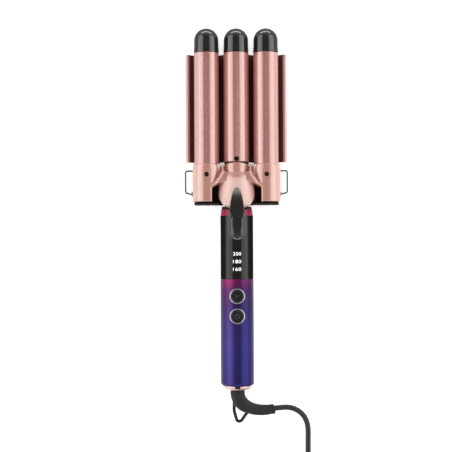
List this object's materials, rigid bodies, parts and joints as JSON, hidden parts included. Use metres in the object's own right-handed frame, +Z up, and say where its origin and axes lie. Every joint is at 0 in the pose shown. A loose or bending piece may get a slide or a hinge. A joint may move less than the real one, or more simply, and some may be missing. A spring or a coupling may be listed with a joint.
{
  "type": "triple-barrel curling iron",
  "caption": "Curling iron with parallel barrels over a wave plate, a sprung clamp with a thumb lever, a wire stand, a lit handle with buttons and a mains cord.",
  "frame": {"origin": "middle of the curler's own bottom face, on the table it lies on, without its cord", "axes": "+Y from the cord end to the barrels' tips, +Z up from the table to the thumb lever, +X across the barrels"},
  "size_m": [0.1506, 0.5265, 0.0533],
  "materials": {
    "head_base": "black heat-proof plastic, fine grain",
    "neck_core": "black heat-proof plastic",
    "steel_screws": "zinc-plated steel",
    "dark_screws": "blackened steel",
    "wave_plate": "formed sheet, glossy rose coating",
    "barrels": "drawn tube, glossy rose-gold coating",
    "tips": "black moulded end, polished",
    "carriers": "extruded, plain",
    "ceramics": "white heater ceramic",
    "thermal_fuse": "small glazed body with leads",
    "hinge_pin": "ground pin",
    "clamp_spring": "spring wire",
    "clamp_housing": "rose-pink moulded, satin gloss",
    "seats": "black heat-proof plastic",
    "thumb_lever": "black moulded, glossy",
    "stand_wire": "plated wire",
    "top_collar": "black moulded",
    "magenta_band": "metallic magenta",
    "display_sleeve": "piano black",
    "display_block": "milky light guide",
    "grip_shell": "metallic gradient from magenta to blue",
    "handle_frame": "grey moulded",
    "circuit_board": "green board",
    "switches": "small black switches",
    "power_parts": "board parts",
    "button_rings": "plated rings",
    "buttons": "black moulded",
    "tail_ring": "rose-gold ring",
    "cord_clamp": "black moulded",
    "rubber": "matt black rubber",
    "cord": "black cord jacket",
    "cord_tie": "black strap",
    "plug_body": "black moulded plug",
    "plug_pins": "nickel-plated brass"
  },
  "bodies": {
    "iron": {"head_base": "head_base", "neck_core": "neck_core", "base_screws": "steel_screws", "wave_plate": "wave_plate", "plate_screws": "steel_screws", "middle_barrel": "barrels", "middle_tip": "tips", "middle_carrier": "carriers", "middle_ceramic": "ceramics", "thermal_fuse": "thermal_fuse", "middle_screw": "dark_screws", "hinge_pin": "hinge_pin", "clamp_spring": "clamp_spring", "top_collar": "top_collar", "magenta_band": "magenta_band", "display_sleeve": "display_sleeve", "display_block": "display_block", "grip_shell": "grip_shell", "handle_frame": "handle_frame", "neck_screws": "steel_screws", "circuit_board": "circuit_board", "switches": "switches", "power_parts": "power_parts", "button_rings": "button_rings", "tail_ring": "tail_ring", "cord_clamp": "cord_clamp", "inner_lead": "cord", "cord_boot": "rubber", "hang_loop": "rubber", "cord_run": "cord", "cord_coil": "cord", "cord_tie": "cord_tie", "cord_tail": "cord", "plug_body": "plug_body", "plug_pins": "plug_pins"},
    "clamp": {"clamp_housing": "clamp_housing", "left_seat": "seats", "right_seat": "seats", "left_barrel": "barrels", "right_barrel": "barrels", "left_tip": "tips", "right_tip": "tips", "left_carrier": "carriers", "right_carrier": "carriers", "left_ceramic": "ceramics", "right_ceramic": "ceramics", "sleeve_screws": "dark_screws", "thumb_lever": "thumb_lever", "lever_screws": "steel_screws"},
    "stand": {"stand_wire": "stand_wire"},
    "upper_button": {"upper_button": "buttons"},
    "lower_button": {"lower_button": "buttons"}
  },
  "joints": [
    {"name": "clamp_hinge", "type": "hinge", "parent": "iron", "child": "clamp", "pos_m": [0, 0.0152, 0.0183], "axis": [1, 0, 0], "range_deg": [0, 16], "stiffness_Nm_per_rad": 0.6, "springref_deg": -28.65, "deforming": ["clamp_spring"]},
    {"name": "stand_hinge", "type": "hinge", "parent": "iron", "child": "stand", "pos_m": [0, 0.0152, 0.0019], "axis": [-1, 0, 0], "range_deg": [0, 100]},
    {"name": "upper_button_press", "type": "slide", "parent": "iron", "child": "upper_button", "axis": [0, 0, -1], "range_m": [0, 0.0006], "stiffness_N_per_m": 1500, "springref_m": -0.0008},
    {"name": "lower_button_press", "type": "slide", "parent": "iron", "child": "lower_button", "axis": [0, 0, -1], "range_m": [0, 0.0006], "stiffness_N_per_m": 1500, "springref_m": -0.0008}
  ]
}
